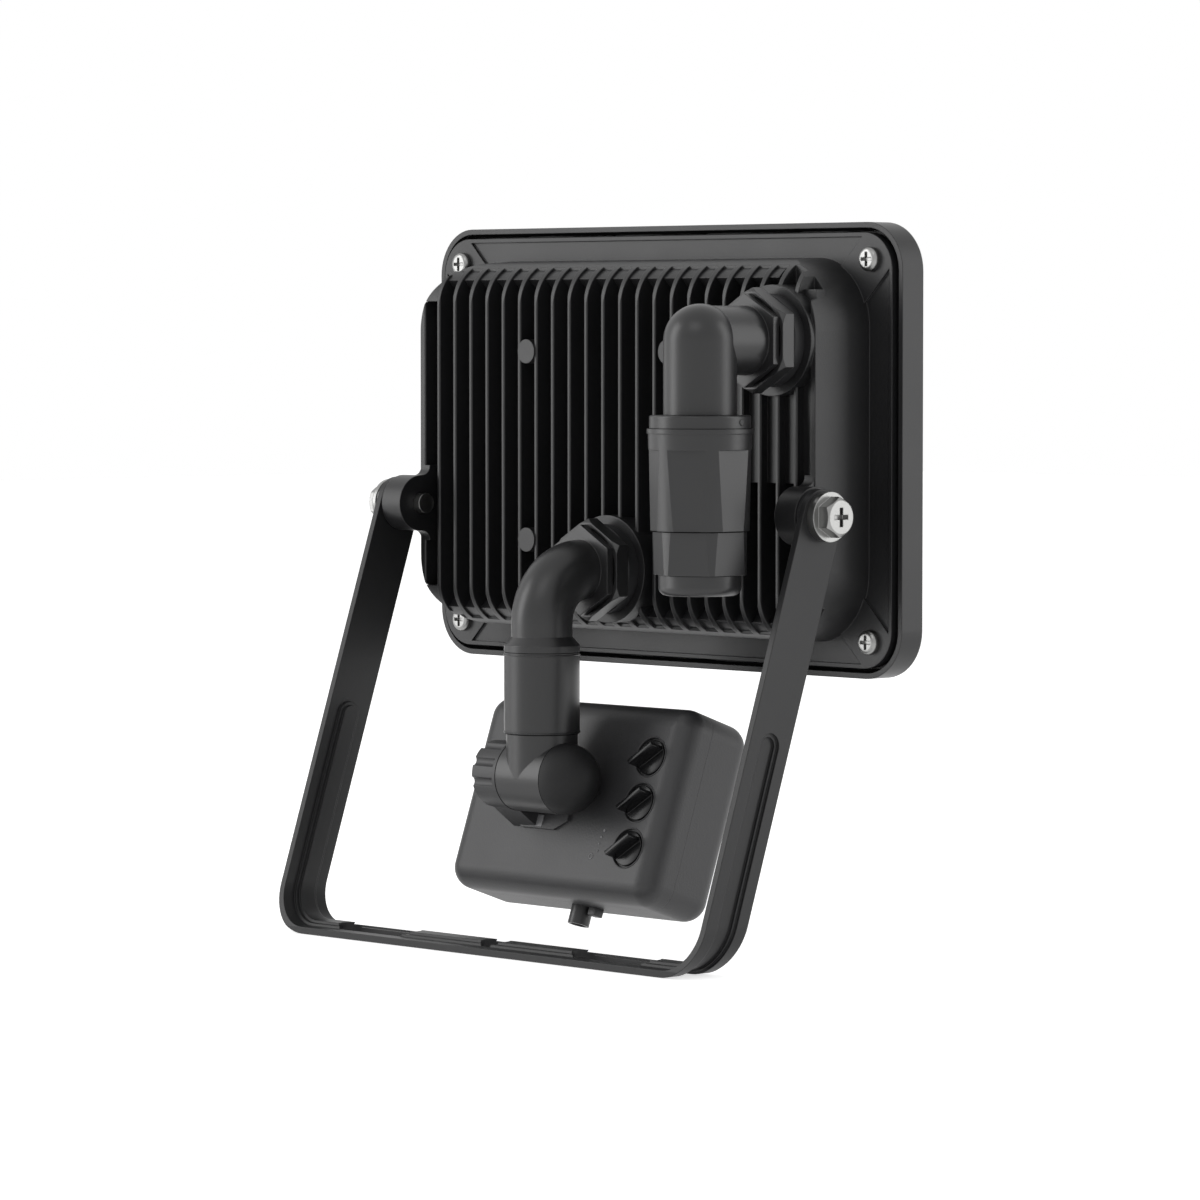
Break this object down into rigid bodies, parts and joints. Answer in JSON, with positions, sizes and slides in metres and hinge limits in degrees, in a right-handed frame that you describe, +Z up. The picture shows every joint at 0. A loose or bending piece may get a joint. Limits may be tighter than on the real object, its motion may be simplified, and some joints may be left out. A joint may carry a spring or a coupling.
{
  "type": "motion sensor floodlight",
  "caption": "Flat finned floodlight head on a U-shaped tilting bracket, with a swivelling motion sensor hung below on a bent pipe and a plug connector behind.",
  "frame": {"origin": "centre of the round hole in the underside of the bracket's base", "axes": "+Z up, -Y out of the window, +Y to the finned back, +X to the right of someone who faces the window"},
  "size_m": [0.1952, 0.0842, 0.21],
  "materials": {
    "bracket_paint": "matt powder coat",
    "casting_paint": "fine-texture matt powder coat",
    "bezel_paint": "satin dark grey",
    "window_glass": "clear toughened",
    "black_rubber": "matt",
    "reflector_white": "satin white",
    "white_board": "gloss solder mask",
    "phosphor": "gloss",
    "chip_black": "matt moulded",
    "zinc_steel": "bright zinc plated",
    "black_plastic": "satin moulded",
    "contact_brass": "plain",
    "sensor_plastic": "spark textured",
    "lens_white": "milky translucent",
    "green_board": "gloss solder mask",
    "knob_gloss": "gloss moulded"
  },
  "bodies": {
    "stand": {"bracket": "bracket_paint"},
    "head": {"heatsink_housing": "casting_paint", "front_bezel": "bezel_paint", "front_glass": "window_glass", "glass_gasket": "black_rubber", "reflector": "reflector_white", "led_board": "white_board", "led_array": "phosphor", "driver_components": "chip_black", "board_screws": "zinc_steel", "corner_screws": "zinc_steel", "pivot_bolts": "zinc_steel", "bolt_washers": "zinc_steel", "friction_washers": "black_rubber", "supply_gasket": "black_rubber", "supply_locknut": "black_plastic", "supply_elbow": "black_plastic", "connector_cap": "black_plastic", "connector_body": "black_plastic", "contact_block": "black_plastic", "contact_pins": "contact_brass", "gland_body": "black_plastic", "gland_seal": "black_rubber", "gland_nut": "black_plastic", "sensor_gasket": "black_rubber", "sensor_locknut": "black_plastic", "sensor_elbow": "black_plastic", "swivel_clip": "zinc_steel"},
    "sensor_arm": {"swivel_sleeve": "black_plastic", "knuckle": "black_plastic", "tilt_screw": "zinc_steel"},
    "sensor_head": {"sensor_rear_shell": "sensor_plastic", "sensor_front_shell": "sensor_plastic", "fresnel_lens": "lens_white", "sensor_board": "green_board", "pir_detector": "zinc_steel", "potentiometers": "chip_black", "relay": "chip_black", "photocell_tube": "black_plastic", "photocell": "phosphor", "sensor_screws": "zinc_steel"},
    "range_dial": {"range_knob": "knob_gloss"},
    "time_dial": {"time_knob": "knob_gloss"},
    "light_dial": {"light_knob": "knob_gloss"}
  },
  "joints": [
    {"name": "bracket_tilt", "type": "hinge", "parent": "stand", "child": "head", "pos_m": [0, -0.042, 0.127], "axis": [1, 0, 0], "range_deg": [-165, 35]},
    {"name": "sensor_pan", "type": "hinge", "parent": "head", "child": "sensor_arm", "pos_m": [0, -0.0183, 0.08], "axis": [0, 0, 1], "range_deg": [-80, 80]},
    {"name": "sensor_tilt", "type": "hinge", "parent": "sensor_arm", "child": "sensor_head", "pos_m": [0, -0.0183, 0.0498], "axis": [1, 0, 0], "range_deg": [-18, 12]},
    {"name": "range_turn", "type": "hinge", "parent": "sensor_head", "child": "range_dial", "pos_m": [-0.03, -0.0331, 0.05649], "axis": [0, 0.9426, 0.3338], "range_deg": [-135, 135]},
    {"name": "time_turn", "type": "hinge", "parent": "sensor_head", "child": "time_dial", "pos_m": [-0.03, -0.02855, 0.04362], "axis": [0, 0.9426, 0.3338], "range_deg": [-135, 135]},
    {"name": "light_turn", "type": "hinge", "parent": "sensor_head", "child": "light_dial", "pos_m": [-0.03, -0.02399, 0.03076], "axis": [0, 0.9426, 0.3338], "range_deg": [-135, 135]}
  ]
}
